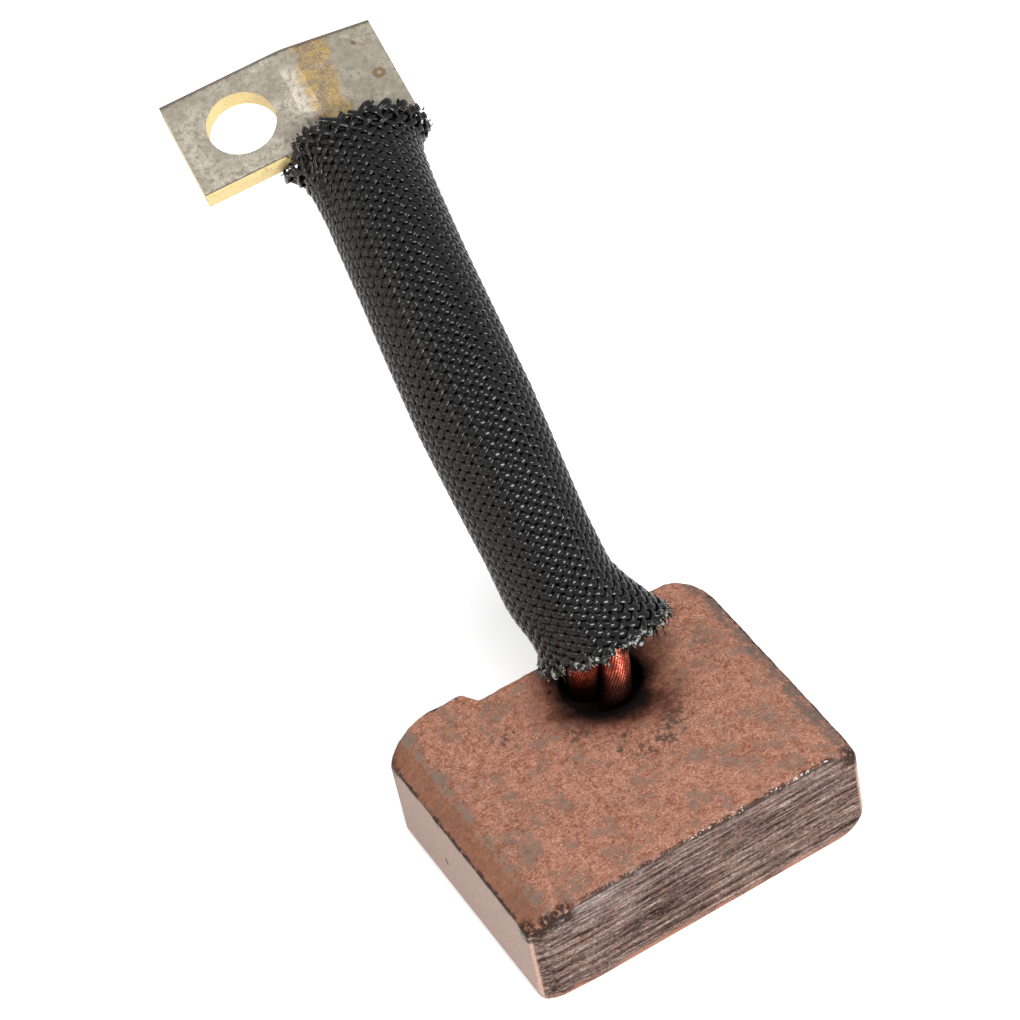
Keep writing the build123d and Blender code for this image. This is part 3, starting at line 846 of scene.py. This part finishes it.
hole_middle = np.array([-0.860, 39.156, 36.173])
long_axis, short_axis = np.array([0.9831, -0.1424, 0.1153]), np.array([0.1005, 0.9452, 0.3107])
face_axis = np.cross(long_axis, short_axis)
terminal_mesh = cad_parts["terminal"].data.copy()
terminal_mesh.name = "terminal_plate"
shell = bmesh.new()
shell.from_mesh(terminal_mesh)
bmesh.ops.remove_doubles(shell, verts=shell.verts, dist=1e-7)
bmesh.ops.dissolve_limit(shell, angle_limit=0.01, verts=shell.verts, edges=shell.edges)
bmesh.ops.triangulate(shell, faces=[face for face in shell.faces if len(face.verts) > 4])
shell.to_mesh(terminal_mesh)
shell.free()
terminal_mesh.materials.clear()
terminal_mesh.materials.append(terminal_finish)
plate = bpy.data.objects.new("terminal_plate", terminal_mesh)
bpy.context.scene.collection.objects.link(plate)
corner_count = len(terminal_mesh.loops)
print("terminal_plate", corner_count, "corners")
polygon_normals = np.empty(len(terminal_mesh.polygons) * 3, dtype=np.float32)
terminal_mesh.polygons.foreach_get("normal", polygon_normals)
faceness = np.abs(polygon_normals.reshape(-1, 3) @ face_axis)
polygon_sizes = np.empty(len(terminal_mesh.polygons), dtype=np.int32)
terminal_mesh.polygons.foreach_get("loop_total", polygon_sizes)
vertex_of_corner = np.empty(corner_count, dtype=np.int32)
terminal_mesh.loops.foreach_get("vertex_index", vertex_of_corner)
places = np.empty(len(terminal_mesh.vertices) * 3, dtype=np.float32)
terminal_mesh.vertices.foreach_get("co", places)
places = places.reshape(-1, 3)[vertex_of_corner] / millimetre - hole_middle
corner_numbers = {
    "cut_edge": np.repeat(faceness < 0.7, polygon_sizes), "along": places @ long_axis, "across": places @ short_axis,
}
for label, values in corner_numbers.items():
    layer = terminal_mesh.attributes.new(label, "FLOAT", "CORNER")
    layer.data.foreach_set("value", values.astype(np.float32))
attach(plate, "root")
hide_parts("terminal")

# %% [markdown]
# ## The table, the lamps and the camera
#
# The part lies on a plain white table. One lamp hangs above, a wide one stands low in front, so that the braid
# shines along its middle, and a large weak one lights the left side. The table and the room look white to the
# camera and in reflections by themselves, so the lamps can stay low enough to leave the colours as they are.

# %% Lay the table
def backdrop_material(name, strength):
    """White to the camera and in reflections, and a soft pale surface to every other ray."""
    material = bpy.data.materials.new(name)
    material.use_nodes = True
    tree = material.node_tree
    tree.nodes.remove(tree.nodes["Principled BSDF"])
    start = Shade(tree)
    path = tree.nodes.new("ShaderNodeLightPath")
    seen = Shade(tree, path.outputs["Is Camera Ray"]) + Shade(tree, path.outputs["Is Glossy Ray"])
    seen = seen + Shade(tree, path.outputs["Is Transmission Ray"])
    pale = start.node("ShaderNodeBsdfDiffuse", {}, {"Color": (0.86, 0.86, 0.86, 1)})
    glow = start.node("ShaderNodeEmission", {}, {"Color": (1, 1, 1, 1), "Strength": strength})
    both = start.node("ShaderNodeAddShader", {}, {0: pale, 1: glow})
    mixed = start.node("ShaderNodeMixShader", {}, {0: seen.between(0.0, 1.0), 1: pale, 2: both})
    tree.links.new(mixed.socket, tree.nodes["Material Output"].inputs["Surface"])
    return material


table_reach, table_glow = 700.0, 0.6
floor_points = np.array([(-1, -1, 0), (1, -1, 0), (1, 1, 0), (-1, 1, 0)]) * table_reach
floor = make_piece("table", floor_points, np.array([[0, 1, 2, 3]]), backdrop_material("white table", table_glow))

# %% Hang the lamps
world = bpy.data.worlds.new("white room")
bpy.context.scene.world = world
world.use_nodes = True
tree = world.node_tree
path = tree.nodes.new("ShaderNodeLightPath")
seen = Shade(tree, path.outputs["Is Camera Ray"]) + Shade(tree, path.outputs["Is Glossy Ray"])
seen = seen + Shade(tree, path.outputs["Is Transmission Ray"])
room_light = 0.25
strength = seen.between(0.0, 1.0) * (1 - room_light) + room_light
tree.links.new(strength.socket, tree.nodes["Background"].inputs["Strength"])
tree.nodes["Background"].inputs["Color"].default_value = (1, 1, 1, 1)


def hang_lamp(name, place, aim, width, height, power):
    """A flat lamp of a width and height in metres that faces the aim."""
    data = bpy.data.lights.new(name, "AREA")
    data.shape, data.size, data.size_y, data.energy = "RECTANGLE", width, height, power
    lamp = bpy.data.objects.new(name, data)
    lamp.location = place
    lamp.rotation_euler = (Vector(aim) - Vector(place)).to_track_quat("-Z", "Y").to_euler()
    bpy.context.scene.collection.objects.link(lamp)
    print(name, power, "W")


middle = (0.0, 0.012, 0.012)
hang_lamp("lamp overhead", (-0.05, -0.12, 0.50), middle, 0.12, 0.12, 0.8)
hang_lamp("lamp in front", (0.109, -0.43, 0.225), middle, 0.26, 0.09, 2.5)
hang_lamp("lamp on the left", (-0.50, 0.10, 0.30), middle, 0.30, 0.30, 0.5)

# %% Set up the camera
camera_data = bpy.data.cameras.new("camera")
camera_data.sensor_width = 36.0
focal_length, picture_width = 4000, 1020
camera_data.lens = focal_length / picture_width * camera_data.sensor_width
camera_data.clip_start, camera_data.clip_end = 0.01, 10.0
camera = bpy.data.objects.new("camera", camera_data)
camera_place = Vector((-0.06786, -0.15993, 0.20450))
right = Vector((0.85088, -0.50346, -0.15009))
down = Vector((-0.45430, -0.56166, -0.69148))
forward = Vector((0.26384, 0.65656, -0.70663))
facing = Matrix((right, -down, -forward)).transposed().to_4x4()
camera.matrix_world = Matrix.Translation(camera_place) @ facing
print("camera looks along", tuple(round(part, 2) for part in forward))
bpy.context.scene.collection.objects.link(camera)
bpy.context.scene.camera = camera
bpy.context.scene.view_settings.view_transform = "Standard"
